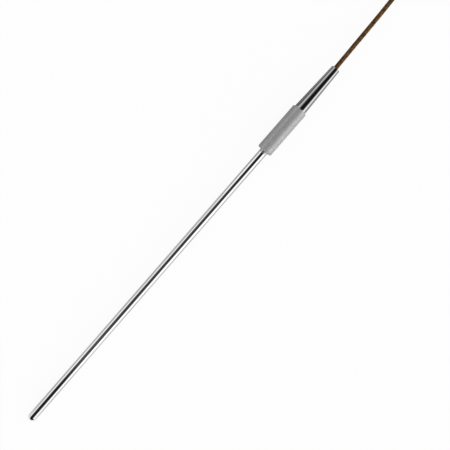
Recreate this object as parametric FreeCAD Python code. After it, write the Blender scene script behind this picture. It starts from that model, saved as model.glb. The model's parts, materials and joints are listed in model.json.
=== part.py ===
import FreeCAD, Part
import math
import os

from FreeCAD import Placement, Rotation, Vector

# Thermocouple probe with a transition joint, lying on a table. Sizes in millimetres.
# The probe is first built along its own axis: U runs from the closed tip to the lead.

# Sheath: drawn tube, closed at the tip
sheath_diameter = 4.76
sheath_wall = 0.5
sheath_length = 198.0       # tip to the front of the sleeve
sheath_projection = 3.0     # stands this far into the cavity of the sleeve
grip_taper = 0.06           # radius lost along the end that the sleeve is crimped on
tip_radius = 2.0
tip_thickness = 1.2

# Thermoelement wires, welded to a bead and packed in ceramic
element_diameter = 0.76
bead_margin = 0.1           # bead reaches this far past the two wires
bead_setback = 0.8          # ceramic between the bead and the closed tip
seal_length = 3.0           # resin plug in the open end of the sheath

# Splices between the thermoelements and the lead, one behind the other
splice_length = 6.0
splice_wall = 0.25
splice_setback = 2.5        # from the open end of the sheath to the first splice
insulator_wall = 0.2
insulator_overhang = 1.0    # past each end of a splice barrel
wire_clearance = 0.22       # between a splice insulator and the wire beside it

# Transition sleeve: turned from bar
sleeve_diameter = 8.9
sleeve_length = 30.2
sleeve_edge = 0.45          # chamfer of the outer edges
collar_length = 8.0         # front length that grips the sheath

# Strain relief: a tapered ferrule with a straight shank in the sleeve
relief_base_diameter = 7.2
relief_mouth_diameter = 5.1
relief_length = 30.2
relief_wall = 0.6
relief_shank = 7.0
mouth_edge = 0.2            # chamfers of the mouth, outside and inside

# Bush that holds the lead in the mouth of the relief
bush_length = 12.0
bush_recess = 0.4

# Lead: two insulated conductors under a braid
cable_diameter = 2.5
lead_wire_diameter = 0.64
lead_insulation_wall = 0.2
lead_stub = 7.0             # conductors bared of braid inside the relief
exit_offset = 0.35          # the lead leaves the mouth this far to the left of the axis
exit_slope = 0.03           # and drifts on to the left at this rate
first_run = 6.0             # straight length in front of the mouth

# Route of the lead on the table: distance past the mouth, offset to the left, height
lead_route = [
    (41.0, 1.65, 2.6),
    (63.0, 4.0, 1.7),
]

# Hank: the put-away length, two lanes wide and four layers high, in line with the probe
hank_distance = 80.8        # from the mouth to the start of the straight sides
hank_offset = -5.0          # middle of the hank, to the left of the axis
hank_straight = 29.0
hank_bend_radius = 7.75     # inner lane, to the middle of the lead
hank_pitch = 2.55
hank_lanes = 2
hank_layers = 4
hank_edge = 1.0
tie_width = 2.4
tie_thickness = 0.6
tie_place = 15.5            # along the straight sides
tie_head_length = 3.4
tie_head_depth = 2.4
tie_head_height = 3.8
tie_head_edge = 0.4

# Free end of the lead, inside the ring of the hank: distance along its straight sides,
# offset to the left of its middle, height
end_route = [
    (1.0, 7.4, 1.85),
    (12.0, 3.5, 1.6),
]
tail_straight = 1.8         # straight out of the braid
tail_reach = (27.5, 0.1, 0.85)
tail_spread = 1.7           # half the distance between the two tails there
tail_bare = 6.0
end_sleeve_wall = 0.2
end_sleeve_length = 5.0
end_sleeve_overhang = 0.5

# Fits
fit_gap = 0.02
tie_gap = 0.05

# Sizes that follow
sheath_radius = sheath_diameter / 2
sheath_bore = sheath_radius - sheath_wall
sheath_end = sheath_length + collar_length + sheath_projection
element_radius = element_diameter / 2
splice_bore = element_radius + fit_gap
splice_radius = splice_bore + splice_wall
insulator_bore = splice_radius + fit_gap
insulator_radius = insulator_bore + insulator_wall
lead_wire_radius = lead_wire_diameter / 2
lead_bore = lead_wire_radius + fit_gap
lead_radius = lead_bore + lead_insulation_wall
wire_offset = (insulator_radius + lead_radius + wire_clearance) / 2
bead_radius = wire_offset + element_radius + bead_margin
bead_center = tip_thickness + bead_setback + bead_radius
splice_step = splice_length + 2 * insulator_overhang
splice_starts = {"positive": sheath_end + splice_setback}
splice_starts["negative"] = splice_starts["positive"] + splice_step
sides = {"positive": 1, "negative": -1}

sleeve_radius = sleeve_diameter / 2
sleeve_end = sheath_length + sleeve_length
cavity_start = sheath_length + collar_length
cavity_radius = relief_base_diameter / 2 + fit_gap
mouth = sleeve_end + relief_length
relief_base_radius = relief_base_diameter / 2
relief_mouth_radius = relief_mouth_diameter / 2
relief_start = sleeve_end - relief_shank
shank_bore = relief_base_radius - relief_wall
bush_end = mouth - bush_recess
bush_start = bush_end - bush_length

cable_radius = cable_diameter / 2
cable_start = splice_starts["negative"] + splice_length + insulator_overhang + lead_stub
conductor_offset = lead_radius + fit_gap / 2

# The probe lies on its tip and on the front edge of its sleeve
support_span = sheath_length + sleeve_edge - tip_radius
tilt = math.atan((sleeve_radius - sheath_radius) / support_span)
tip_height = sheath_radius * math.cos(tilt) - tip_radius * math.sin(tilt)
tip_place = Vector(-mouth / 2 * math.cos(tilt), 0, tip_height)
rest = Placement(tip_place, Rotation(Vector(0, 1, 0), -math.degrees(tilt)))
mouth_place = rest.multVec(Vector(mouth, 0, 0))

# The hank lies on its ties
outer_lane = hank_bend_radius + (hank_lanes - 1) * hank_pitch
hank_inner = hank_bend_radius - cable_radius
hank_outer = outer_lane + cable_radius
hank_base = tie_thickness
hank_height = (hank_layers - 1) * hank_pitch + cable_diameter
hank_middle = Vector(mouth_place.x + hank_distance, hank_offset, 0)


def turned(start, *steps):
    """Solid turned about the axis. A step is a point (u, r), or an arc (middle, end)."""
    def at(point):
        return Vector(point[0], point[1], 0)

    edges = []
    here = at(start)
    for step in steps + (start,):
        if isinstance(step[0], tuple):
            middle, end = at(step[0]), at(step[1])
            edges.append(Part.Arc(here, middle, end).toShape())
        else:
            end = at(step)
            edges.append(Part.LineSegment(here, end).toShape())
        here = end
    face = Part.Face(Part.Wire(edges))
    return face.revolve(Vector(0, 0, 0), Vector(1, 0, 0), 360)


def rod(start, end, radius, offset=0.0):
    """Round rod parallel to the axis, off to one side by offset."""
    return Part.makeCylinder(radius, end - start, Vector(start, offset, 0), Vector(1, 0, 0))


def corner_arc(center, radius, from_angle, to_angle):
    """Quarter round of a profile, as the arc step of turned()."""
    def at(angle):
        turn = math.radians(angle)
        return (center[0] + radius * math.cos(turn), center[1] + radius * math.sin(turn))

    return (at((from_angle + to_angle) / 2), at(to_angle))


def rounded_path(points):
    """Straight runs joined by tangent arcs, as large as the two runs at each corner allow."""
    edges = []
    radii = []
    here = points[0]
    for before, corner, after in zip(points, points[1:], points[2:]):
        back = before - corner
        ahead = after - corner
        turn = math.pi - back.getAngle(ahead)
        trim = 0.45 * min(back.Length, ahead.Length)
        radius = trim / math.tan(turn / 2)
        back.normalize()
        ahead.normalize()
        inward = (back + ahead).normalize()
        enter = corner + back * trim
        leave = corner + ahead * trim
        middle = corner + inward * (radius / math.cos(turn / 2) - radius)
        edges.append(Part.LineSegment(here, enter).toShape())
        edges.append(Part.Arc(enter, middle, leave).toShape())
        radii.append(radius)
        here = leave
    edges.append(Part.LineSegment(here, points[-1]).toShape())
    return Part.Wire(edges), radii


def section(points, radius):
    """Round section at the start of a route."""
    return Part.Wire([Part.Circle(points[0], points[1] - points[0], radius).toShape()])


def tube(points, radius):
    """Round bar swept along a rounded path."""
    path, radii = rounded_path(points)
    return path.makePipeShell([section(points, radius)], True, True)


def mitred_wire(points, radius):
    """Round bar along straight runs, mitred where it turns by a few degrees."""
    right_corner = 1
    return Part.makePolygon(points).makePipeShell([section(points, radius)], True, True, right_corner)


def laid(shape):
    """The piece moved from the probe's own axis to its place on the table."""
    shape.Placement = rest.multiply(shape.Placement)
    return shape


parts = {}


# Sheath: its rounded end is closed by a weld, and its open end is slightly tapered by the crimp
def grip_radius(u):
    return sheath_radius - grip_taper * (u - sheath_length) / (sheath_end - sheath_length)


def make_sheath():
    round_center = (tip_radius, sheath_radius - tip_radius)
    return turned(
        (0, 0),
        (0, round_center[1]),
        corner_arc(round_center, tip_radius, 180, 90),
        (sheath_length, sheath_radius),
        (sheath_end, grip_radius(sheath_end)),
        (sheath_end, sheath_bore),
        (tip_thickness, sheath_bore),
        (tip_thickness, 0),
    )


parts["sheath"] = laid(make_sheath())

# Thermoelements, from the welded bead to the middle of their splice barrels
bead = Part.makeSphere(bead_radius, Vector(bead_center, 0, 0))
elements = {}
for name, side in sides.items():
    element_end = splice_starts[name] + splice_length / 2 - fit_gap
    elements[name] = rod(bead_center, element_end, element_radius, side * wire_offset)
    parts[name + "_thermoelement"] = laid(elements[name].cut(bead))

# Ceramic round the wires, and the resin plug behind it
seal_start = sheath_end - seal_length
fill = rod(tip_thickness, seal_start, sheath_bore).cut(bead)
seal = rod(seal_start, sheath_end, sheath_bore)
for element in elements.values():
    fill = fill.cut(element)
    seal = seal.cut(element)
parts["insulation_fill"] = laid(fill)
parts["sheath_end_seal"] = laid(seal)
parts["measuring_junction"] = laid(bead)


# Transition sleeve: collar on the sheath, open bore for the joint and the shank of the relief
def make_sleeve():
    return turned(
        (sheath_length, sheath_radius + fit_gap),
        (sheath_length, sleeve_radius - sleeve_edge),
        (sheath_length + sleeve_edge, sleeve_radius),
        (sleeve_end - sleeve_edge, sleeve_radius),
        (sleeve_end, sleeve_radius - sleeve_edge),
        (sleeve_end, cavity_radius),
        (cavity_start, cavity_radius),
        (cavity_start, grip_radius(cavity_start) + fit_gap),
    )


parts["transition_sleeve"] = laid(make_sleeve())


# Strain relief: shank, taper and a mouth with broken edges
def taper_radius(u):
    share = (u - sleeve_end) / relief_length
    return relief_base_radius + share * (relief_mouth_radius - relief_base_radius)


def make_relief():
    lip_start = mouth - mouth_edge
    lip_outer = taper_radius(lip_start)
    lip_inner = lip_outer - relief_wall
    return turned(
        (relief_start, shank_bore),
        (relief_start, relief_base_radius),
        (sleeve_end, relief_base_radius),
        (lip_start, lip_outer),
        (mouth, lip_outer - mouth_edge),
        (mouth, lip_inner + mouth_edge),
        (lip_start, lip_inner),
        (sleeve_end, shank_bore),
    )


parts["strain_relief"] = laid(make_relief())


# Hank: a flat-sided oval ring of the put-away lead
def make_oval(radius):
    left = hank_middle + Vector(0, radius, hank_base)
    right = hank_middle + Vector(0, -radius, hank_base)
    along = Vector(hank_straight, 0, 0)
    near = hank_middle + Vector(-radius, 0, hank_base)
    far = hank_middle + along + Vector(radius, 0, hank_base)
    outline = [
        Part.LineSegment(left, left + along).toShape(),
        Part.Arc(left + along, far, right + along).toShape(),
        Part.LineSegment(right + along, right).toShape(),
        Part.Arc(right, near, left).toShape(),
    ]
    return Part.Face(Part.Wire(outline)).extrude(Vector(0, 0, hank_height))


def lies_flat(edge):
    return abs(edge.tangentAt(edge.FirstParameter).z) < 0.5


hank = make_oval(hank_outer).cut(make_oval(hank_inner))
hank = hank.makeChamfer(hank_edge, [edge for edge in hank.Edges if lies_flat(edge)])
parts["cable_hank"] = hank


# Lead: its first run crosses the axis inside the bush and leaves the mouth a little to the left,
# and on the table it runs into the outer lane of the hank
def on_lead(u):
    return Vector(u, exit_offset + exit_slope * (u - mouth), 0)


lead_inner_end = on_lead(cable_start)
lead_outside = on_lead(mouth + first_run)
lead_points = [rest.multVec(lead_inner_end), rest.multVec(lead_outside)]
for along, left, height in lead_route:
    lead_points.append(Vector(mouth_place.x + along, left, height))
lead_points.append(hank_middle + Vector(0, outer_lane, hank_base + cable_radius))
lead_path, lead_radii = rounded_path(lead_points)
lead = tube(lead_points, cable_radius)
parts["lead_cable"] = lead.cut(hank)

# Bush: tapered to the inside of the relief, bored along the lead
bush = turned(
    (bush_start, 0),
    (bush_start, taper_radius(bush_start) - relief_wall - fit_gap),
    (bush_end, taper_radius(bush_end) - relief_wall - fit_gap),
    (bush_end, 0),
)
parts["cable_bush"] = laid(bush).cut(tube(lead_points, cable_radius + fit_gap))

# Splices, their insulators and the conductors that lead from them to the end of the braid
lead_direction = (lead_outside - lead_inner_end).normalize()
lead_side = Vector(-lead_direction.y, lead_direction.x, 0)
joint_contents = [make_sheath(), rod(cavity_start, sheath_end, sheath_bore)]
for name, side in sides.items():
    offset = side * wire_offset
    start = splice_starts[name]
    end = start + splice_length
    cover_start = start - insulator_overhang
    cover_end = end + insulator_overhang
    barrel = rod(start, end, splice_radius, offset).cut(rod(start, end, splice_bore, offset))
    parts[name + "_splice"] = laid(barrel)

    cover = rod(cover_start, cover_end, insulator_radius, offset)
    insulator = cover.cut(rod(start - fit_gap, end + fit_gap, insulator_bore, offset))
    insulator = insulator.cut(rod(cover_start, start, splice_bore, offset))
    insulator = insulator.cut(rod(end, cover_end, lead_bore, offset))
    parts[name + "_splice_insulator"] = laid(insulator)

    meeting = lead_inner_end + lead_side * (side * conductor_offset)
    stub_points = [
        Vector(cover_end, offset, 0),
        Vector(cable_start - lead_stub * 2 / 3, offset, 0),
        meeting - lead_direction * (lead_stub / 3),
        meeting,
    ]
    stub = mitred_wire(stub_points, lead_radius)
    wire_start = start + splice_length / 2 + fit_gap
    wire = mitred_wire(stub_points, lead_wire_radius)
    wire = wire.fuse(rod(wire_start, cover_end, lead_wire_radius, offset)).removeSplitter()
    joint_contents += [elements[name], cover, stub]
    parts[name + "_lead_insulation"] = laid(stub.cut(mitred_wire(stub_points, lead_bore)))
    parts[name + "_lead_wire"] = laid(wire)

# Potting: fills what is left inside the sleeve and the relief, up to the bush
potting = turned(
    (cavity_start, 0),
    (cavity_start, cavity_radius),
    (relief_start, cavity_radius),
    (relief_start, shank_bore),
    (sleeve_end, shank_bore),
    (bush_start, taper_radius(bush_start) - relief_wall),
    (bush_start, 0),
)
for content in joint_contents:
    potting = potting.cut(content)
parts["potting"] = laid(potting).cut(lead)


# Cable ties: a strap round each straight side of the hank, its head inside the ring
def make_block(low, high, corner):
    block = Part.makeBox(high.x - low.x, high.y - low.y, high.z - low.z, low)
    return block.makeFillet(corner, [edge for edge in block.Edges if lies_along(edge)])


def lies_along(edge):
    return abs(edge.tangentAt(edge.FirstParameter).x) > 0.5


for name, side in {"left": 1, "right": -1}.items():
    tie_start = hank_middle.x + tie_place
    inner_y = hank_offset + side * (hank_inner - tie_gap)
    outer_y = hank_offset + side * (hank_outer + tie_gap)
    low = Vector(tie_start, min(inner_y, outer_y), hank_base)
    high = Vector(tie_start + tie_width, max(inner_y, outer_y), hank_base + hank_height + tie_gap)
    wall = Vector(0, tie_thickness, tie_thickness)
    strap = make_block(low - wall, high + wall, hank_edge + tie_thickness)

    head_middle = Vector(
        tie_start + tie_width / 2, inner_y - side * tie_head_depth / 2, hank_base + hank_height / 2
    )
    head_half = Vector(tie_head_length / 2, tie_head_depth / 2, tie_head_height / 2)
    head = make_block(head_middle - head_half, head_middle + head_half, tie_head_edge)
    opening = make_block(low, high, hank_edge)
    parts[name + "_hank_tie"] = strap.fuse(head).cut(opening).removeSplitter()

# Free end: braid, shrunk sleeve and two stripped tails, lying inside the ring
end_points = [hank_middle + Vector(*point) for point in end_route]
braid_end = end_points[-1]
end_direction = (braid_end - end_points[0]).normalize()
end_side = Vector(-end_direction.y, end_direction.x, 0).normalize()
parts["cable_end"] = tube(end_points, cable_radius).cut(hank)

shrink_bore = cable_radius + fit_gap
shrink_start = braid_end + end_direction * (end_sleeve_overhang - end_sleeve_length)
shrink = [shrink_start, shrink_start + end_direction * end_sleeve_length]
parts["braid_end_sleeve"] = tube(shrink, shrink_bore + end_sleeve_wall).cut(tube(shrink, shrink_bore))

for name, side in sides.items():
    tail_start = braid_end + end_side * (side * conductor_offset)
    tail_bend = tail_start + end_direction * tail_straight
    tail_end = hank_middle + Vector(*tail_reach) + Vector(0, side * tail_spread, 0)
    tail_points = [tail_start, tail_bend, tail_end]
    bare_points = [tail_start, tail_bend, tail_end + (tail_end - tail_bend).normalize() * tail_bare]
    tail = tube(tail_points, lead_radius)
    parts[name + "_tail_insulation"] = tail.cut(tube(tail_points, lead_bore))
    parts[name + "_tail_wire"] = tube(bare_points, lead_wire_radius)

os.makedirs("parts", exist_ok=True)
for name, shape in parts.items():
    shape.exportStep("parts/" + name + ".step")

# The lead as swept, against its section times its length
print("bend radii of the lead:", [round(radius, 1) for radius in lead_radii])
print("volume of the lead:", round(lead.Volume, 2))
print("section times length:", round(math.pi * cable_radius ** 2 * lead_path.Length, 2))
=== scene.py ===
import json
import math

import bmesh
import bpy
import numpy as np
from mathutils import Matrix, Vector


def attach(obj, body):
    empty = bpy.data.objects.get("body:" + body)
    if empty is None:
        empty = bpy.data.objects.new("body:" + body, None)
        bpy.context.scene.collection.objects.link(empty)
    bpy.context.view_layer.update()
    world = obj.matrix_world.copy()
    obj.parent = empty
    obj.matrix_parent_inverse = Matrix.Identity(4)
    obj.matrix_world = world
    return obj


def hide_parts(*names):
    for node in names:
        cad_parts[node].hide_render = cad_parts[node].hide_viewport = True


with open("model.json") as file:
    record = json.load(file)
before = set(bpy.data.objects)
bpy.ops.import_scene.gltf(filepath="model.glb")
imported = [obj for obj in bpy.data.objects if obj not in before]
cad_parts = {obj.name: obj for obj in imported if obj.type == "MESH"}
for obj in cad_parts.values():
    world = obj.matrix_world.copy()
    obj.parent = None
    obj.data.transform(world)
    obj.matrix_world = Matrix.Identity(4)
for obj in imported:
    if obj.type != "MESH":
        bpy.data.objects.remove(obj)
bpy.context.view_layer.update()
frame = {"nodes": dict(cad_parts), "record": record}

# Sheath: a drawn stainless tube, 4.76 mm across, closed and rounded at the tip by welding.
# Ground and polished, so it mirrors the room in long bands, and dull in front of the sleeve,
# where the blasting of the sleeve has caught it. It lies on its tip and on the sleeve's front edge.
mm = 0.001
sheath_mount = frame["record"]["mounts"][0]
mount_place = 100 * mm      # of the mount's middle, from the tip
probe_axis = -Vector(sheath_mount["axis"]).normalized()
tip = Vector(sheath_mount["pos_m"]) - probe_axis * mount_place
probe_tilt = math.asin(probe_axis.z)
laid = Matrix.Translation(tip) @ Matrix.Rotation(-probe_tilt, 4, "Y") @ Matrix.Scale(mm, 4)

sheath_radius = 2.38
sheath_bore = 1.88
sheath_length = 198.0
sheath_end = 209.0
sheath_end_radius = 2.32
tip_rounding = 2.0
tip_thickness = 1.2
straight_from = 0.3         # past a rounding, where a ring keeps the reflections on the straight part true
rounding_segments = 8
merge_distance = 0.001      # millimetres
crease = math.radians(40)

sheath_tones = (0.81, 0.81, 0.82), (0.87, 0.87, 0.88)
sheath_dulled = (196.1, 196.9)          # from polished to blasted, in millimetres from the tip
polishing_lines = (0.02, 2.2, 2.2)      # grain of the polish, along the probe and across it
slow_clouds = (0.06, 0.25, 0.25)
blasted_tone = (0.62, 0.62, 0.62, 1)
blasted_roughness = (0.45, 0.45, 0.45, 1)


def turned(name, profile, roundings, place=laid, steps=128):
    """Piece turned about the probe's axis from a closed profile of (u, r) corners in millimetres.
    roundings gives the corners that are rounded, by their place in the profile, and their radius.
    place puts the piece on another axis than the probe's."""
    work = bmesh.new()
    corners = [work.verts.new((u, r, 0)) for u, r in profile]
    for here, following in zip(corners, corners[1:] + corners[:1]):
        if here.co.y > 0 or following.co.y > 0:
            work.edges.new((here, following))
    for number, radius in roundings.items():
        bmesh.ops.bevel(
            work, geom=[corners[number]], offset=radius, offset_type="OFFSET",
            affect="VERTICES", segments=rounding_segments, profile=0.5, material=-1,
        )
    bmesh.ops.spin(
        work, geom=work.verts[:] + work.edges[:], cent=(0, 0, 0), axis=(1, 0, 0),
        angle=math.tau, steps=steps, use_merge=True,
    )
    bmesh.ops.remove_doubles(work, verts=work.verts, dist=merge_distance)
    bmesh.ops.recalc_face_normals(work, faces=work.faces)
    bmesh.ops.transform(work, matrix=place, verts=work.verts)
    return finished(name, work)


def finished(name, work):
    """The modelled piece as an object, smooth except across its creases."""
    mesh = bpy.data.meshes.new(name)
    work.to_mesh(mesh)
    work.free()
    mesh.shade_smooth()
    mesh.set_sharp_from_angle(angle=crease)
    piece = bpy.data.objects.new(name, mesh)
    bpy.context.scene.collection.objects.link(piece)
    return piece


def node(tree, kind, inputs, **settings):
    """A node with its settings, its values and its links."""
    made = tree.nodes.new(kind)
    for setting, value in settings.items():
        setattr(made, setting, value)
    for socket, value in inputs.items():
        if isinstance(value, bpy.types.NodeSocket):
            tree.links.new(value, made.inputs[socket])
        else:
            made.inputs[socket].default_value = value
    return made


def new_finish(name, values):
    """A material whose shader has these values, its node tree and its shader."""
    material = bpy.data.materials.new(name)
    material.use_nodes = True
    shader = material.node_tree.nodes["Principled BSDF"]
    for socket, value in values.items():
        shader.inputs[socket].default_value = value
    return material, material.node_tree, shader


def dress(tree, shader, looks):
    """Gives the shader what changes over the surface."""
    for socket, look in looks.items():
        tree.links.new(look, shader.inputs[socket])


def probe_coordinates(tree):
    """Places on a turned piece, in millimetres from the tip, with the axis along X."""
    place = node(tree, "ShaderNodeTexCoord", {})
    return node(tree, "ShaderNodeMapping", {
        "Vector": place.outputs["Object"],
        "Location": tip,
        "Rotation": (0, -probe_tilt, 0),
        "Scale": (mm, mm, mm),
    }, vector_type="TEXTURE").outputs["Vector"]


def stretched(tree, places, scale):
    """The places, scaled on each axis for a grain that is longer one way than the other."""
    return node(tree, "ShaderNodeMapping", {"Vector": places, "Scale": scale}).outputs["Vector"]


def noise(tree, places, scale, detail, roughness=0.5):
    """Random tone over the places, from 0 to 1."""
    return node(tree, "ShaderNodeTexNoise", {
        "Vector": places, "Scale": scale, "Detail": detail, "Roughness": roughness,
    }).outputs["Fac"]


def between(tree, value, low, high, to=(0.0, 1.0)):
    """The value's place between low and high, held to that range and turned into the range of to."""
    return node(tree, "ShaderNodeMapRange", {
        "Value": value, "From Min": low, "From Max": high, "To Min": to[0], "To Max": to[1],
    }).outputs["Result"]


def ramp(tree, factor, *stops):
    """Colour ramp through stops of (place, grey) or (place, colour)."""
    made = node(tree, "ShaderNodeValToRGB", {"Fac": factor})
    elements = made.color_ramp.elements
    while len(elements) < len(stops):
        elements.new(0.5)
    for element, (place, colour) in zip(elements, stops):
        element.position = place
        element.color = (*colour, 1) if isinstance(colour, tuple) else (colour, colour, colour, 1)
    return made.outputs["Color"]


def mixed(tree, factor, first, second):
    """The first colour where the factor is 0, and the second where it is 1."""
    return node(tree, "ShaderNodeMix", {
        "Factor": factor, 6: first, 7: second,
    }, data_type="RGBA").outputs[2]


def toned(tree, colour, tone):
    """The colour, lighter and darker by a grey tone."""
    return node(tree, "ShaderNodeMix", {
        "Factor": 1.0, 6: colour, 7: tone,
    }, data_type="RGBA", blend_type="MULTIPLY").outputs[2]


def bumped(tree, height, strength, depth, over=None):
    """Normals of a fine relief with its depth in millimetres, over those of a coarser one."""
    inputs = {"Height": height, "Strength": strength, "Distance": depth * mm}
    if over is not None:
        inputs["Normal"] = over
    return node(tree, "ShaderNodeBump", inputs).outputs["Normal"]


def polished_metal(name, tones, dulled):
    """Mirror-bright metal with faint lengthwise polishing lines and slow changes between two tones.
    dulled gives the two places on the axis between which it turns from polished to blasted."""
    material, tree, shader = new_finish(name, {"Metallic": 1.0})
    places = probe_coordinates(tree)
    lines = noise(tree, stretched(tree, places, polishing_lines), scale=2.0, detail=4.0)
    clouds = noise(tree, stretched(tree, places, slow_clouds), scale=1.0, detail=3.0)
    polish = toned(
        tree, ramp(tree, clouds, (0.35, tones[0]), (0.65, tones[1])),
        ramp(tree, lines, (0.3, 0.95), (0.7, 1.04)),
    )
    smoothness = ramp(tree, lines, (0.3, 0.03), (0.7, 0.09))
    along = node(tree, "ShaderNodeSeparateXYZ", {"Vector": places}).outputs["X"]
    blasted = between(tree, along, *dulled)
    dress(tree, shader, {
        "Base Color": mixed(tree, blasted, polish, blasted_tone),
        "Roughness": mixed(tree, blasted, smoothness, blasted_roughness),
        "Normal": bumped(tree, lines, strength=0.04, depth=0.02),
    })
    return material


sheath = turned("sheath_tube", [
    (0, 0),
    (0, sheath_radius),
    (tip_rounding + straight_from, sheath_radius),
    (sheath_length, sheath_radius),
    (sheath_end, sheath_end_radius),
    (sheath_end, sheath_bore),
    (tip_thickness, sheath_bore),
    (tip_thickness, 0),
], {1: tip_rounding})
sheath.data.materials.append(polished_metal("polished_sheath_steel", sheath_tones, sheath_dulled))
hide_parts("sheath")
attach(sheath, "root")

# Thermoelements: two bare alloy wires, welded into one bead near the tip.
# They lie side by side in packed white ceramic, and a plug of red resin closes the open end.
# All of it is sealed inside the sheath, so the solids stay as they are and only get a finish.
def speckled(name, low, high, roughness, grain, depth, metallic=0.0):
    """Plain finish: two tones in a fine grain, with the same grain as relief.
    grain is its size and depth its height, in millimetres."""
    material, tree, shader = new_finish(name, {"Metallic": metallic, "Roughness": roughness})
    place = node(tree, "ShaderNodeTexCoord", {}).outputs["Object"]
    grains = noise(tree, place, scale=1 / (grain * mm), detail=5.0, roughness=0.6)
    dress(tree, shader, {
        "Base Color": ramp(tree, grains, (0.35, low), (0.65, high)),
        "Normal": bumped(tree, grains, strength=0.5, depth=depth),
    })
    return material


def coat(material, *names):
    """Gives solids of the frame their finish."""
    for name in names:
        solid = frame["nodes"][name]
        solid.data.materials.clear()
        solid.data.materials.append(material)


positive_alloy = speckled(
    "positive_alloy_wire", (0.42, 0.41, 0.38), (0.55, 0.53, 0.49),
    roughness=0.32, grain=0.4, depth=0.01, metallic=1.0,
)
negative_alloy = speckled(
    "negative_alloy_wire", (0.36, 0.36, 0.37), (0.47, 0.47, 0.48),
    roughness=0.36, grain=0.4, depth=0.01, metallic=1.0,
)
packed_ceramic = speckled(
    "packed_ceramic", (0.72, 0.70, 0.63), (0.85, 0.83, 0.78),
    roughness=0.9, grain=0.25, depth=0.03,
)
seal_resin = speckled(
    "seal_resin", (0.24, 0.07, 0.04), (0.34, 0.10, 0.06),
    roughness=0.4, grain=0.8, depth=0.02,
)
coat(positive_alloy, "positive_thermoelement", "measuring_junction", "positive_lead_wire")
coat(negative_alloy, "negative_thermoelement", "negative_lead_wire")
coat(packed_ceramic, "insulation_fill")
coat(seal_resin, "sheath_end_seal")

# Splices: crimped barrels that join each thermoelement to its lead conductor, one behind the other.
# Plated copper barrels under clear shrunk covers, and woven glass on the two lead conductors.
# They are cast into black resin inside the sleeve, so nothing of them shows.
splice_plating = speckled(
    "splice_plating", (0.52, 0.50, 0.45), (0.68, 0.66, 0.60),
    roughness=0.35, grain=0.5, depth=0.01, metallic=1.0,
)
clear_cover = speckled(
    "clear_cover", (0.64, 0.64, 0.61), (0.74, 0.74, 0.72),
    roughness=0.25, grain=1.5, depth=0.01,
)
yellow_glass = speckled(
    "yellow_glass", (0.62, 0.37, 0.03), (0.80, 0.52, 0.06),
    roughness=0.8, grain=0.2, depth=0.04,
)
red_glass = speckled(
    "red_glass", (0.36, 0.02, 0.015), (0.52, 0.045, 0.03),
    roughness=0.8, grain=0.2, depth=0.04,
)
potting_resin = speckled(
    "potting_resin", (0.022, 0.022, 0.022), (0.04, 0.04, 0.04),
    roughness=0.6, grain=1.2, depth=0.03,
)
coat(splice_plating, "positive_splice", "negative_splice")
coat(clear_cover, "positive_splice_insulator", "negative_splice_insulator")
coat(yellow_glass, "positive_lead_insulation")
coat(red_glass, "negative_lead_insulation")
coat(potting_resin, "potting")

# Transition sleeve: turned from stainless bar and bead blasted to a matte grey.
# Its front grips the sheath, and its back is bored out for the joint and the relief's shank.
# Both outer edges are eased, and a painted highlight makes them a little brighter.
sleeve_radius = 4.45
sleeve_end = 228.2
sleeve_front_edge = 0.9
sleeve_back_edge = 0.75
sleeve_front_bore = 2.40
cavity_start = 206.0
cavity_bore = 2.36
cavity_radius = 3.62
# painted highlight on the eased outer edges: its length at each end and its tone
edge_highlight_length = 0.6         # at both ends
edge_highlight_tone = (0.50, 0.50, 0.50, 1)


def maths(tree, operation, *values):
    """The result of one operation on numbers and sockets."""
    return node(tree, "ShaderNodeMath", dict(enumerate(values)), operation=operation).outputs["Value"]


def blasted_metal(name):
    """Matte metal: fine pits from the blasting beads, slow changes of tone and a painted highlight on the
    outer edges.
    """
    material, tree, shader = new_finish(name, {"Metallic": 0.35})
    places = probe_coordinates(tree)
    pits = noise(tree, places, scale=5.0, detail=4.0, roughness=0.7)
    clouds = noise(tree, places, scale=0.35, detail=2.0)
    along = node(tree, "ShaderNodeSeparateXYZ", {"Vector": places}).outputs["X"]
    middle = (sheath_length + sleeve_end) / 2
    half = (sleeve_end - sheath_length) / 2
    from_middle = maths(tree, "ABSOLUTE", maths(tree, "SUBTRACT", along, middle))
    # painted highlight: lighter over a short length at each end of the sleeve
    painted_edge_highlight = between(tree, from_middle, half - edge_highlight_length, half)
    base = toned(
        tree, ramp(tree, clouds, (0.3, (0.41, 0.41, 0.41)), (0.7, (0.47, 0.47, 0.475))),
        ramp(tree, pits, (0.35, 0.82), (0.65, 1.12)),
    )
    dress(tree, shader, {
        "Base Color": mixed(tree, painted_edge_highlight, base, edge_highlight_tone),
        "Roughness": between(tree, pits, 0.3, 0.7, to=(0.38, 0.47)),
        "Normal": bumped(tree, pits, strength=0.35, depth=0.04),
    })
    return material


sleeve = turned("blasted_sleeve", [
    (sheath_length, sleeve_front_bore),
    (sheath_length, sleeve_radius),
    (sheath_length + sleeve_front_edge + straight_from, sleeve_radius),
    (sleeve_end - sleeve_back_edge - straight_from, sleeve_radius),
    (sleeve_end, sleeve_radius),
    (sleeve_end, cavity_radius),
    (cavity_start, cavity_radius),
    (cavity_start, cavity_bore),
], {1: sleeve_front_edge, 4: sleeve_back_edge})
sleeve.data.materials.append(blasted_metal("blasted_sleeve_steel"))
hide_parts("transition_sleeve")
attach(sleeve, "root")

# Strain relief: a tapered ferrule spun from stainless tube and polished, with a straight shank.
# The shank is fixed in the back of the sleeve, and the mouth's edge is broken inside and outside.
# Duller than the sheath, because its polish is the plain one of a spun part.
relief_start = 221.2
relief_base = 3.6
relief_wall = 0.6
relief_mouth = 2.55
mouth = 258.4
mouth_edge = 0.22
relief_slope = (relief_mouth - relief_base) / (mouth - sleeve_end)
relief_ring = mouth_edge + straight_from
relief_tones = (0.41, 0.41, 0.42), (0.47, 0.47, 0.48)
relief_dulled = (228.75, 228.5)     # blasted next to the sleeve, as the sheath is

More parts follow.
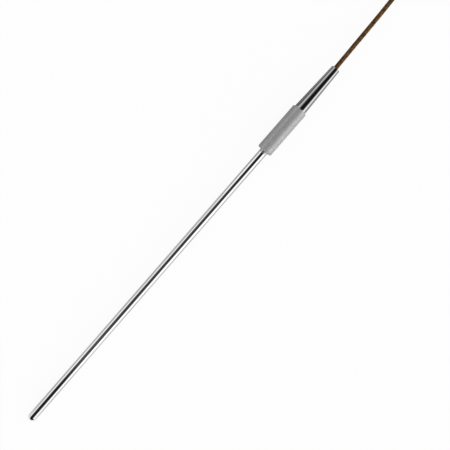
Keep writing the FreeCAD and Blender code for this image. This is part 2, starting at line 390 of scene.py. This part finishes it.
relief = turned("relief_ferrule", [
    (relief_start, relief_base - relief_wall),
    (relief_start, relief_base),
    (sleeve_end, relief_base),
    (sleeve_end + straight_from, relief_base + relief_slope * straight_from),
    (mouth - relief_ring, relief_mouth - relief_slope * relief_ring),
    (mouth, relief_mouth),
    (mouth, relief_mouth - relief_wall),
    (sleeve_end, relief_base - relief_wall),
], {5: mouth_edge, 6: mouth_edge})
relief.data.materials.append(polished_metal("polished_relief_steel", relief_tones, relief_dulled))
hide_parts("strain_relief")
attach(relief, "root")

# Bush: a moulded plug of black rubber in the mouth of the relief, bored for the lead.
# It sits just behind the mouth's edge and keeps the lead from rubbing on the metal.
bush_rubber = speckled(
    "bush_rubber", (0.018, 0.016, 0.015), (0.035, 0.031, 0.029),
    roughness=0.75, grain=0.3, depth=0.05,
)
coat(bush_rubber, "cable_bush")

# Tails: the two conductors, freed of their braid at the lead's end and stripped for a terminal.
# Yellow and red glass insulation is woven round each, and its last 6 mm is bare alloy wire.
# They lie inside the ring of the hank, side by side and spreading slightly.
hank_distance = 80.8 * mm   # from the mouth to the start of the hank's straight sides
hank_offset = -5.0 * mm     # Y of its middle, to the right of the probe
mouth_point = laid @ Vector((mouth, 0, 0))
hank_middle = Vector((mouth_point.x + hank_distance, hank_offset, 0))
braid_end = hank_middle + Vector((12.0, 3.5, 1.6)) * mm
end_turn = hank_middle + Vector((1.0, 7.4, 1.85)) * mm
end_direction = (braid_end - end_turn).normalized()
end_side = Vector((-end_direction.y, end_direction.x, 0)).normalized()
conductor_offset = 0.57 * mm
tail_straight = 1.8 * mm
tail_reach = Vector((27.5, 0.1, 0.85)) * mm
tail_spread = 1.7 * mm
tail_bare = 6.0 * mm
tail_step = 0.25 * mm       # between the rings of a tail's mesh
insulation_radius = 0.54 * mm
wire_radius = 0.32 * mm
line_resolution = 24        # of a smooth line, between its controls
glass_turns = (2.2, 6.0, 1.0)       # wraps of the glass yarn, by the millimetre and round the conductor


def laid_line(route, step):
    """Evenly spaced points on the smooth line of a route, and its length.
    The line is a quadratic NURBS with the route's points as its controls."""
    curve = bpy.data.curves.new("route", "CURVE")
    curve.dimensions = "3D"
    curve.resolution_u = line_resolution
    spline = curve.splines.new("NURBS")
    spline.points.add(len(route) - 1)
    for control, place in zip(spline.points, route):
        control.co = (*place, 1)
    spline.order_u = 3
    spline.use_endpoint_u = True
    holder = bpy.data.objects.new("route", curve)
    drawn = bpy.data.meshes.new_from_object(holder)
    line = np.array([corner.co for corner in drawn.vertices])
    bpy.data.meshes.remove(drawn)
    bpy.data.curves.remove(curve)
    reached = np.concatenate([[0], np.cumsum(np.linalg.norm(np.diff(line, axis=0), axis=1))])
    wanted = np.linspace(0, reached[-1], round(reached[-1] / step) + 1)
    return np.stack([np.interp(wanted, reached, line[:, axis]) for axis in range(3)], axis=1), reached[-1]


def round_tube(name, line, length, radius, resolution, relief=None):
    """Closed tube along a line. Its UV map holds millimetres along it and the share of a turn round it.
    relief gives the height of its surface there, and is left out on a smooth tube."""
    curve = bpy.data.curves.new(name, "CURVE")
    curve.dimensions = "3D"
    curve.twist_mode = "MINIMUM"
    curve.bevel_depth = radius
    curve.bevel_resolution = resolution
    spline = curve.splines.new("POLY")
    spline.points.add(len(line) - 1)
    for control, place in zip(spline.points, line):
        control.co = (*place, 1)
    holder = bpy.data.objects.new(name, curve)
    skin = bpy.data.meshes.new_from_object(holder)
    bpy.data.curves.remove(curve)

    work = bmesh.new()
    work.from_mesh(skin)
    bpy.data.meshes.remove(skin)
    uv_map = work.loops.layers.uv.active
    last_ring = len(line) - 1
    lifted = set()
    for face in work.faces:
        for corner in face.loops:
            along_share, round_share = corner[uv_map].uv
            along = along_share * length / mm
            corner[uv_map].uv = (along, round_share)
            if relief and corner.vert not in lifted:
                lifted.add(corner.vert)
                ring = min(round(along_share * last_ring), last_ring)
                outward = corner.vert.co - Vector(line[ring])
                corner.vert.co += outward.normalized() * relief(along, round_share)
    rims = [edge for edge in work.edges if edge.is_boundary]
    bmesh.ops.holes_fill(work, edges=rims, sides=0)
    return finished(name, work)


def woven_glass(name, low, high):
    """Fine glass yarn wrapped round a conductor, dyed and varnished."""
    material, tree, shader = new_finish(name, {"Roughness": 0.6})
    place = node(tree, "ShaderNodeUVMap", {}, uv_map="UVMap").outputs["UV"]
    yarns = node(tree, "ShaderNodeTexWave", {
        "Vector": stretched(tree, place, glass_turns), "Scale": 1.0, "Distortion": 1.5, "Detail": 2.0,
    }, wave_type="BANDS", bands_direction="DIAGONAL").outputs["Fac"]
    dress(tree, shader, {
        "Base Color": ramp(tree, yarns, (0.2, low), (0.8, high)),
        "Normal": bumped(tree, yarns, strength=0.5, depth=0.05),
    })
    return material


yellow_tail_glass = woven_glass("yellow_tail_glass", (0.58, 0.34, 0.02), (0.80, 0.52, 0.06))
red_tail_glass = woven_glass("red_tail_glass", (0.34, 0.02, 0.015), (0.54, 0.05, 0.03))
tails = {
    "positive": (1, yellow_tail_glass, positive_alloy),
    "negative": (-1, red_tail_glass, negative_alloy),
}
for polarity, (side, glass, alloy) in tails.items():
    tail_start = braid_end + end_side * side * conductor_offset
    tail_bend = tail_start + end_direction * tail_straight
    tail_end = hank_middle + tail_reach + Vector((0, side * tail_spread, 0))
    bare_end = tail_end + (tail_end - tail_bend).normalized() * tail_bare
    line, length = laid_line([tail_start, tail_bend, tail_end], tail_step)
    insulation = round_tube(polarity + "_tail_glass", line, length, insulation_radius, resolution=6)
    insulation.data.materials.append(glass)
    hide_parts(polarity + "_tail_insulation")
    line, length = laid_line([tail_start, tail_bend, bare_end], tail_step)
    wire = round_tube(polarity + "_bare_wire", line, length, wire_radius, resolution=4)
    wire.data.materials.append(alloy)
    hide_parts(polarity + "_tail_wire")
    for piece in (insulation, wire):
        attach(piece, "root")

# End sleeve: a short black shrunk tube that keeps the end of the braid from fraying.
# It follows the braid tightly, and past its end it has drawn in on the two conductors.
end_sleeve_length = 5.0
end_sleeve_overhang = 0.5
end_sleeve_bore = 1.27
end_sleeve_wall = 0.2
end_sleeve_neck = 1.13      # bore at the drawn-in end
end_sleeve_edges = {1: 0.1, 2: 0.2, 3: 0.06}

shrunk_on = end_sleeve_length - end_sleeve_overhang
end_sleeve_start = braid_end - end_direction * shrunk_on * mm
end_turned = end_direction.to_track_quat("X", "Z").to_matrix().to_4x4()
along_end = Matrix.Translation(end_sleeve_start) @ end_turned @ Matrix.Scale(mm, 4)
end_sleeve = turned("shrunk_end_sleeve", [
    (0, end_sleeve_bore),
    (0, end_sleeve_bore + end_sleeve_wall),
    (shrunk_on, end_sleeve_bore + end_sleeve_wall),
    (end_sleeve_length, end_sleeve_neck + end_sleeve_wall),
    (end_sleeve_length, end_sleeve_neck),
    (shrunk_on, end_sleeve_bore),
], end_sleeve_edges, place=along_end, steps=48)
end_sleeve.data.materials.append(speckled(
    "black_shrink", (0.016, 0.016, 0.016), (0.03, 0.03, 0.03),
    roughness=0.45, grain=1.0, depth=0.02,
))
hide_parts("braid_end_sleeve")
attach(end_sleeve, "root")

# Hank ties: two small cable ties round the straight sides of the hank, moulded in natural nylon.
# Each strap is drawn tight through its own head, which lies inside the ring, and cut off above it.
cable_radius = 1.25 * mm
inner_lane = 7.75 * mm
outer_lane = 10.3 * mm
first_layer = 1.85 * mm
layer_pitch = 2.55 * mm
top_layer = 3
hank_inside = inner_lane - cable_radius
hank_outside = outer_lane + cable_radius
hank_bottom = first_layer - cable_radius
hank_top = first_layer + top_layer * layer_pitch + cable_radius
tie_start = 15.5 * mm       # along the straight sides
tie_width = 2.4 * mm
tie_thickness = 0.6 * mm
tie_gap = 0.05 * mm
tie_corner = 1.0 * mm
tie_corner_segments = 6
tie_edge = 0.12 * mm
tie_edge_segments = 3
tie_crease = 1.0            # radians between two faces, above which their edge is rounded
tie_head = Vector((3.4, 2.4, 3.8)) * mm
tie_slot_rim = 0.55 * mm
tie_slot_depth = 0.7 * mm
tie_stump = Vector((2.1, 0.55, 2.6)) * mm


def hank_tie(name, side):
    """A strap in a closed loop, its head with a slot on top, and the stump that stands out of it."""
    work = bmesh.new()
    for margin in (tie_thickness, 0):
        near = side * (hank_inside - tie_gap - margin)
        far = side * (hank_outside + tie_gap + margin)
        low = hank_bottom - margin
        high = hank_top + tie_gap + margin
        loop = [(near, low), (far, low), (far, high), (near, high)]
        corners = [work.verts.new((tie_start, y, z)) for y, z in loop]
        for here, following in zip(corners, corners[1:] + corners[:1]):
            work.edges.new((here, following))
        bmesh.ops.bevel(
            work, geom=corners, offset=tie_corner + margin, offset_type="OFFSET",
            affect="VERTICES", segments=tie_corner_segments, profile=0.5, material=-1,
        )
    flank = bmesh.ops.bridge_loops(work, edges=work.edges[:])["faces"]
    pulled = bmesh.ops.extrude_face_region(work, geom=flank)["geom"]
    moved = [corner for corner in pulled if isinstance(corner, bmesh.types.BMVert)]
    bmesh.ops.translate(work, vec=(tie_width, 0, 0), verts=moved)

    head_side = side * (hank_inside - tie_gap - tie_head.y / 2)
    head_middle = Vector((tie_start + tie_width / 2, head_side, (hank_bottom + hank_top) / 2))
    head_place = Matrix.Translation(head_middle) @ Matrix.Diagonal((*tie_head, 1))
    bmesh.ops.create_cube(work, size=1, matrix=head_place)
    work.faces.ensure_lookup_table()
    head_faces = work.faces[-6:]        # a block has six
    head_top = max(head_faces, key=lambda face: face.calc_center_median().z)
    bmesh.ops.inset_region(work, faces=[head_top], thickness=tie_slot_rim)
    bmesh.ops.translate(work, vec=(0, 0, -tie_slot_depth), verts=head_top.verts)

    stump_middle = head_middle + Vector((0, 0, tie_head.z / 2 - tie_slot_depth + tie_stump.z / 2))
    stump_place = Matrix.Translation(stump_middle) @ Matrix.Diagonal((*tie_stump, 1))
    bmesh.ops.create_cube(work, size=1, matrix=stump_place)

    bmesh.ops.recalc_face_normals(work, faces=work.faces)
    sharp_edges = [edge for edge in work.edges if edge.calc_face_angle(0) > tie_crease]
    bmesh.ops.bevel(
        work, geom=sharp_edges, offset=tie_edge, offset_type="OFFSET",
        affect="EDGES", segments=tie_edge_segments, profile=0.5, material=-1,
    )
    bmesh.ops.translate(work, vec=hank_middle, verts=work.verts)
    return finished(name, work)


tie_nylon = speckled(
    "tie_nylon", (0.56, 0.54, 0.49), (0.68, 0.66, 0.61),
    roughness=0.4, grain=1.5, depth=0.01,
)
for tie_name, side in {"left": 1, "right": -1}.items():
    tie = hank_tie(tie_name + "_nylon_tie", side)
    tie.data.materials.append(tie_nylon)
    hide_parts(tie_name + "_hank_tie")
    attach(tie, "root")

# Lead: two insulated conductors under a braid of brown varnished glass yarn, 2.5 mm across.
# It leaves the mouth slightly off the axis, comes down to the table and runs into the hank,
# where its put-away length is wound flat in seven turns: up the outer lane, down the inner one.
exit_offset = 0.3
exit_slope = 0.03
first_run = 6.0
cable_start = 233.5
lead_on_table = [(41.0, 1.2, 2.6), (63.0, 2.35, 1.7)]       # past the mouth, to the left, and up
hank_straight = 29.0 * mm
turn_step = 30              # degrees between the controls of a bend
bend_controls = 8
far_start = -turn_step / 2              # degrees, where the bends at the far end begin
near_start = 180 - turn_step / 2
carriers = 7                # yarns of each hand
weave_length = 1.3          # of one diamond of the braid, in millimetres
rings_per_diamond = 4
braid_relief = 0.07 * mm
yarn_filaments = 5          # that can be told apart in a yarn
pale_yarn = (0.28, 0.155, 0.050, 1)
gap_shade = (0.026, 0.012, 0.004, 1)


def on_lead(u):
    """Point of the lead inside the relief and just past its mouth, by its place on the probe's axis."""
    return laid @ Vector((u, exit_offset + exit_slope * (u - mouth), 0))


def hank_bend(centre, start, lanes, layer, count=bend_controls):
    """Controls of one bend of the hank: a polygon round it, from one straight side to the other."""
    controls = []
    for place in range(count):
        share = place / (bend_controls - 1)
        angle = math.radians(start + turn_step * place)
        reach = (lanes[0] + (lanes[1] - lanes[0]) * share) / math.cos(math.radians(turn_step / 2))
        height = first_layer + layer_pitch * layer
        controls.append(centre + Vector((reach * math.sin(angle), reach * math.cos(angle), height)))
    return controls


lead_route = [on_lead(cable_start), on_lead(mouth + first_run)]
for past_mouth, left, height in lead_on_table:
    lead_route.append(Vector((mouth_point.x + past_mouth * mm, left * mm, height * mm)))
lead_route.append(hank_middle + Vector((0, outer_lane, first_layer)))
far_middle = hank_middle + Vector((hank_straight, 0, 0))
outer = (outer_lane, outer_lane)
crossing = (outer_lane, inner_lane)
inner = (inner_lane, inner_lane)
for layer in range(top_layer):
    lead_route += hank_bend(far_middle, far_start, outer, layer)
    lead_route += hank_bend(hank_middle, near_start, outer, layer + 1)
lead_route += hank_bend(far_middle, far_start, crossing, top_layer)
lead_route += hank_bend(hank_middle, near_start, inner, top_layer)
for layer in range(top_layer - 1, 0, -1):
    lead_route += hank_bend(far_middle, far_start, inner, layer)
    lead_route += hank_bend(hank_middle, near_start, inner, layer)
lead_route += hank_bend(far_middle, far_start, inner, 0)
lead_route += hank_bend(hank_middle, near_start, inner, 0, count=bend_controls - 1)
lead_route += [end_turn, braid_end]


def braid_height(along, round_share):
    """Diamonds where the yarns of the two hands cross."""
    one_hand = carriers * round_share + along / weave_length
    other_hand = carriers * round_share - along / weave_length
    crown = abs(math.sin(math.pi * one_hand) * math.sin(math.pi * other_hand))
    return crown * braid_relief


def braid_pattern(tree):
    """The same diamonds in the finish: their height, and the filaments of the yarn on top."""
    place = node(tree, "ShaderNodeUVMap", {}, uv_map="UVMap").outputs["UV"]
    split = node(tree, "ShaderNodeSeparateXYZ", {"Vector": place})
    along = maths(tree, "MULTIPLY", split.outputs["X"], 1 / weave_length)
    around = maths(tree, "MULTIPLY", split.outputs["Y"], carriers)
    hands = [maths(tree, operation, around, along) for operation in ("ADD", "SUBTRACT")]
    waves = [maths(tree, "SINE", maths(tree, "MULTIPLY", hand, math.pi)) for hand in hands]
    counts = [maths(tree, "FLOOR", hand) for hand in hands]
    crown = maths(tree, "ABSOLUTE", maths(tree, "MULTIPLY", *waves))
    on_top = maths(tree, "FLOORED_MODULO", maths(tree, "ADD", *counts), 2.0)
    yarn = node(tree, "ShaderNodeMix", {
        "Factor": on_top, 2: hands[0], 3: hands[1],
    }, data_type="FLOAT").outputs[0]
    filaments = maths(tree, "SINE", maths(tree, "MULTIPLY", yarn, math.tau * yarn_filaments))
    return crown, between(tree, filaments, -1.0, 1.0)


def brown_braid(name):
    """Braided glass yarn in a brown varnish, with paler yarns where the varnish is thin."""
    material, tree, shader = new_finish(name, {
        "Roughness": 0.75, "Diffuse Roughness": 1.0, "Specular IOR Level": 0.2,
    })
    crown, filaments = braid_pattern(tree)
    place = node(tree, "ShaderNodeTexCoord", {}).outputs["Object"]
    flecks = noise(tree, place, scale=900.0, detail=3.0, roughness=0.65)
    stains = noise(tree, place, scale=520.0, detail=2.0)
    varnish = ramp(tree, stains, (0.36, (0.076, 0.036, 0.009)), (0.64, (0.230, 0.110, 0.028)))
    thin = ramp(tree, flecks, (0.54, 0.0), (0.72, 0.5))
    yarns = toned(
        tree, mixed(tree, thin, varnish, pale_yarn),
        ramp(tree, filaments, (0.0, 0.78), (1.0, 1.15)),
    )
    gaps = ramp(tree, crown, (0.0, 0.65), (0.45, 0.0))
    diamonds = bumped(tree, crown, strength=0.6, depth=0.06)
    threads = bumped(tree, filaments, strength=0.5, depth=0.03, over=diamonds)
    dress(tree, shader, {
        "Base Color": mixed(tree, gaps, yarns, gap_shade),
        "Normal": bumped(tree, flecks, strength=0.4, depth=0.03, over=threads),
    })
    return material


line, lead_length = laid_line(lead_route, weave_length * mm / rings_per_diamond)
lead = round_tube("braided_lead", line, lead_length, cable_radius, resolution=12, relief=braid_height)
lead.data.materials.append(brown_braid("brown_glass_braid"))
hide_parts("lead_cable", "cable_hank", "cable_end")
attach(lead, "root")

# Table: a large sheet of pale card, matte, on which the probe lies.
# The camera sees it as a white background that keeps a faint trace of the shadow.
floor_size = 6.0
card_grey = (0.52, 0.52, 0.52, 1)
shadow_grey = (0.95, 0.95, 0.95, 1)
background_share = 0.93     # of plain white, the rest takes the shadow
card_start = -3.0 * mm      # from the tip: places along the card are counted from here to the mouth
# painted light: a glow on the card that only the metal's reflections show, white beyond the tip
mirrored_white = [          # share of white in the card that the metal mirrors, by the place along it
    (0.0, 1.0), (0.03, 0.18), (0.10, 0.20), (0.16, 0.36),
    (0.30, 0.27), (0.66, 0.27), (0.74, 0.10), (0.88, 0.2),
]
joint_shadow = [(0.878, 0.0), (0.886, 1.0), (1.0, 0.0)]     # shade left of the relief, by the same places
joint_shadow_grey = (0.05, 0.05, 0.05, 1)


def blended(tree, share, first, second):
    """Two shaders in one, by the share of the second."""
    return node(tree, "ShaderNodeMixShader", {0: share, 1: first, 2: second}).outputs["Shader"]


def pale_card(name):
    """Matte card that is a white background to the camera, with a faint shadow.
    The polished metal mirrors it as a grey card with painted light, white beyond the tip, and a painted
    shadow left of the relief."""
    material, tree, shader = new_finish(name, {"Roughness": 0.9})
    place = node(tree, "ShaderNodeTexCoord", {}).outputs["Object"]
    split = node(tree, "ShaderNodeSeparateXYZ", {"Vector": place})
    along = between(tree, split.outputs["X"], tip.x + card_start, mouth_point.x)
    left_side = between(tree, split.outputs["Y"], 0.0, sleeve_radius * mm)
    shadow_share = maths(tree, "MULTIPLY", ramp(tree, along, *joint_shadow), left_side)
    dress(tree, shader, {"Base Color": mixed(tree, shadow_share, card_grey, joint_shadow_grey)})

    path = node(tree, "ShaderNodeLightPath", {})
    white = node(tree, "ShaderNodeEmission", {"Color": (1, 1, 1, 1), "Strength": 1.0}).outputs["Emission"]
    # painted light on the card, seen only by glossy rays
    white_share = maths(tree, "MULTIPLY", path.outputs["Is Glossy Ray"], ramp(tree, along, *mirrored_white))
    mirrored = blended(tree, white_share, shader.outputs["BSDF"], white)
    shaded = node(tree, "ShaderNodeBsdfDiffuse", {"Color": shadow_grey}).outputs["BSDF"]
    seen = blended(tree, background_share, shaded, white)
    surface = blended(tree, path.outputs["Is Camera Ray"], mirrored, seen)
    tree.links.new(surface, tree.nodes["Material Output"].inputs["Surface"])
    return material


work = bmesh.new()
bmesh.ops.create_grid(work, x_segments=1, y_segments=1, size=floor_size / 2)
floor = finished("table", work)
floor.data.materials.append(pale_card("pale_card"))

# Studio: a long soft box on each side of the probe, the right one larger, under a dark ceiling that is
# faintly lighter above the sheath. Polished metal mirrors them. The right box fades out at the tip, and
# past the sleeve both turn to the right. Matte surfaces get an even light, stronger from the right.
left_levels = [         # brightness by the X of the direction that the light comes from
    (-0.05, 1.2), (-0.028, 1.07), (-0.008, 1.12), (0.03, 1.6), (0.055, 1.2),
]
right_levels = [
    (-0.32, 0.0), (-0.23, 1.15), (-0.195, 1.2), (-0.175, 1.39),
    (0.0, 1.39), (0.03, 1.25), (0.05, 1.4), (0.12, 1.9),
]
ceiling_levels = [
    (-0.197, 0.0), (-0.178, 0.058), (-0.155, 0.058),
    (-0.13, 0.034), (0.005, 0.024), (0.025, 0.0),
]
left_turns = [          # degrees that a box is turned to the right, by the same X
    (-0.15, -4), (-0.07, -2), (0.01, -2), (0.03, 0), (0.08, 0), (0.15, 10),
]
right_turns = [
    (-0.20, 4), (-0.18, 0), (-0.12, 0), (-0.07, -3),
    (0.015, -4), (0.03, 0), (0.08, 0), (0.15, 16),
]
no_turn = [(-1, 0), (1, 0)]
most_turn = 20          # degrees either way that the turns may reach
dark_level = 0.005
left_box = [            # brightness by degrees from straight above to the probe's right
    (-95, 0.10), (-81, 0.15), (-70, 0.66), (-60, 1),
    (-52, 0.95), (-42, 0.5), (-30, 0.13), (-20, dark_level),
]
right_box = [(24, dark_level), (32, 0.08), (38, 0.22), (46, 0.9), (54, 1), (88, 1), (94, 0.8)]
even_light = [(-90, 0.65), (-20, 0.65), (38, 0.72), (62, 1.95), (78, 3.0), (90, 3.6)]

world = bpy.data.worlds.new("studio")
bpy.context.scene.world = world
world.use_nodes = True
sky = world.node_tree
direction = node(sky, "ShaderNodeTexCoord", {}).outputs["Generated"]
split = node(sky, "ShaderNodeSeparateXYZ", {"Vector": direction})
along_share = between(sky, split.outputs["X"], -1.0, 1.0)
lean = maths(sky, "ARCTAN2", maths(sky, "MULTIPLY", split.outputs["Y"], -1.0), split.outputs["Z"])


def along_the_probe(levels):
    """Levels by the X of the direction, blended from one to the next."""
    return ramp(sky, along_share, *[((x + 1) / 2, level) for x, level in levels])


def round_the_probe(lights, turns=no_turn):
    """Brightness by the angle from straight above, in degrees, to the probe's right.
    turns moves the lights to the right."""
    turn_share = along_the_probe([(x, (turn + most_turn) / (2 * most_turn)) for x, turn in turns])
    turn = between(sky, turn_share, 0.0, 1.0, to=(-math.radians(most_turn), math.radians(most_turn)))
    angle_share = between(sky, maths(sky, "SUBTRACT", lean, turn), -math.pi, math.pi)
    return ramp(sky, angle_share, *[((angle + 180) / 360, grey) for angle, grey in lights])


def background(colour, strength=1.0):
    """Light from all directions, in these colours."""
    return node(sky, "ShaderNodeBackground", {"Color": colour, "Strength": strength}).outputs["Background"]


left_light = background(round_the_probe(left_box, left_turns), along_the_probe(left_levels))
right_light = background(round_the_probe(right_box, right_turns), along_the_probe(right_levels))
ceiling = background(along_the_probe(ceiling_levels))
mirrored_room = left_light
for light in (right_light, ceiling):
    mirrored_room = node(sky, "ShaderNodeAddShader", {0: mirrored_room, 1: light}).outputs["Shader"]
path = node(sky, "ShaderNodeLightPath", {})
lit = blended(sky, path.outputs["Is Glossy Ray"], background(round_the_probe(even_light)), mirrored_room)
shown = blended(sky, path.outputs["Is Camera Ray"], lit, background((1, 1, 1, 1)))
sky.links.new(shown, sky.nodes["World Output"].inputs["Surface"])

# Camera: straight above the table, at 0.7 m with a long lens.
# It is turned so that the probe runs from the lower left to the upper right, as in the photo.
view_place = Vector((23.68, -10.62, 697.0)) * mm
view_turn = math.radians(-48.93)
focal_length = 100          # millimetres
sensor_width = 36
view_depth = 20             # metres

lens = bpy.data.cameras.new("camera")
lens.lens = focal_length
lens.sensor_width = sensor_width
lens.clip_end = view_depth
camera = bpy.data.objects.new("camera", lens)
camera.location = view_place
camera.rotation_euler = (0, 0, view_turn)
bpy.context.scene.collection.objects.link(camera)
bpy.context.scene.camera = camera
bpy.context.scene.view_settings.view_transform = "Standard"
